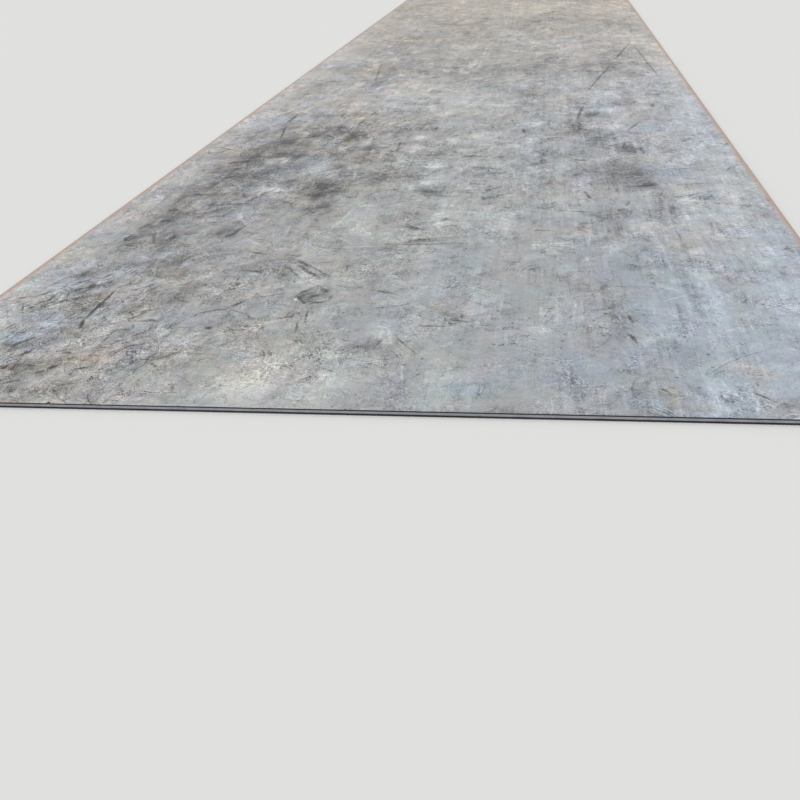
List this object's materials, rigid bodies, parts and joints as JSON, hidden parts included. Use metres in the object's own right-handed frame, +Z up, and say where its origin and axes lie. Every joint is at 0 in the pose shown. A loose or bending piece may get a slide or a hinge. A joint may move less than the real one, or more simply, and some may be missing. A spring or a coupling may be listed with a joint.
{
  "type": "steel plate",
  "caption": "Flat rectangular hot rolled steel plate, one piece of raw stock with square-cut sheared ends and trimmed long sides.",
  "frame": {"origin": "middle of the flat underside, on the floor", "axes": "+X across the plate, +Y along its length away from the front end, +Z up out of the top face"},
  "size_m": [2.2, 10, 0.012],
  "materials": {
    "hot_rolled_steel": "grey mill scale, dusty and scuffed, with bare sheared edges and a trace of rust along the long sides"
  },
  "bodies": {
    "root": {"steel_plate": "hot_rolled_steel"}
  },
  "joints": []
}
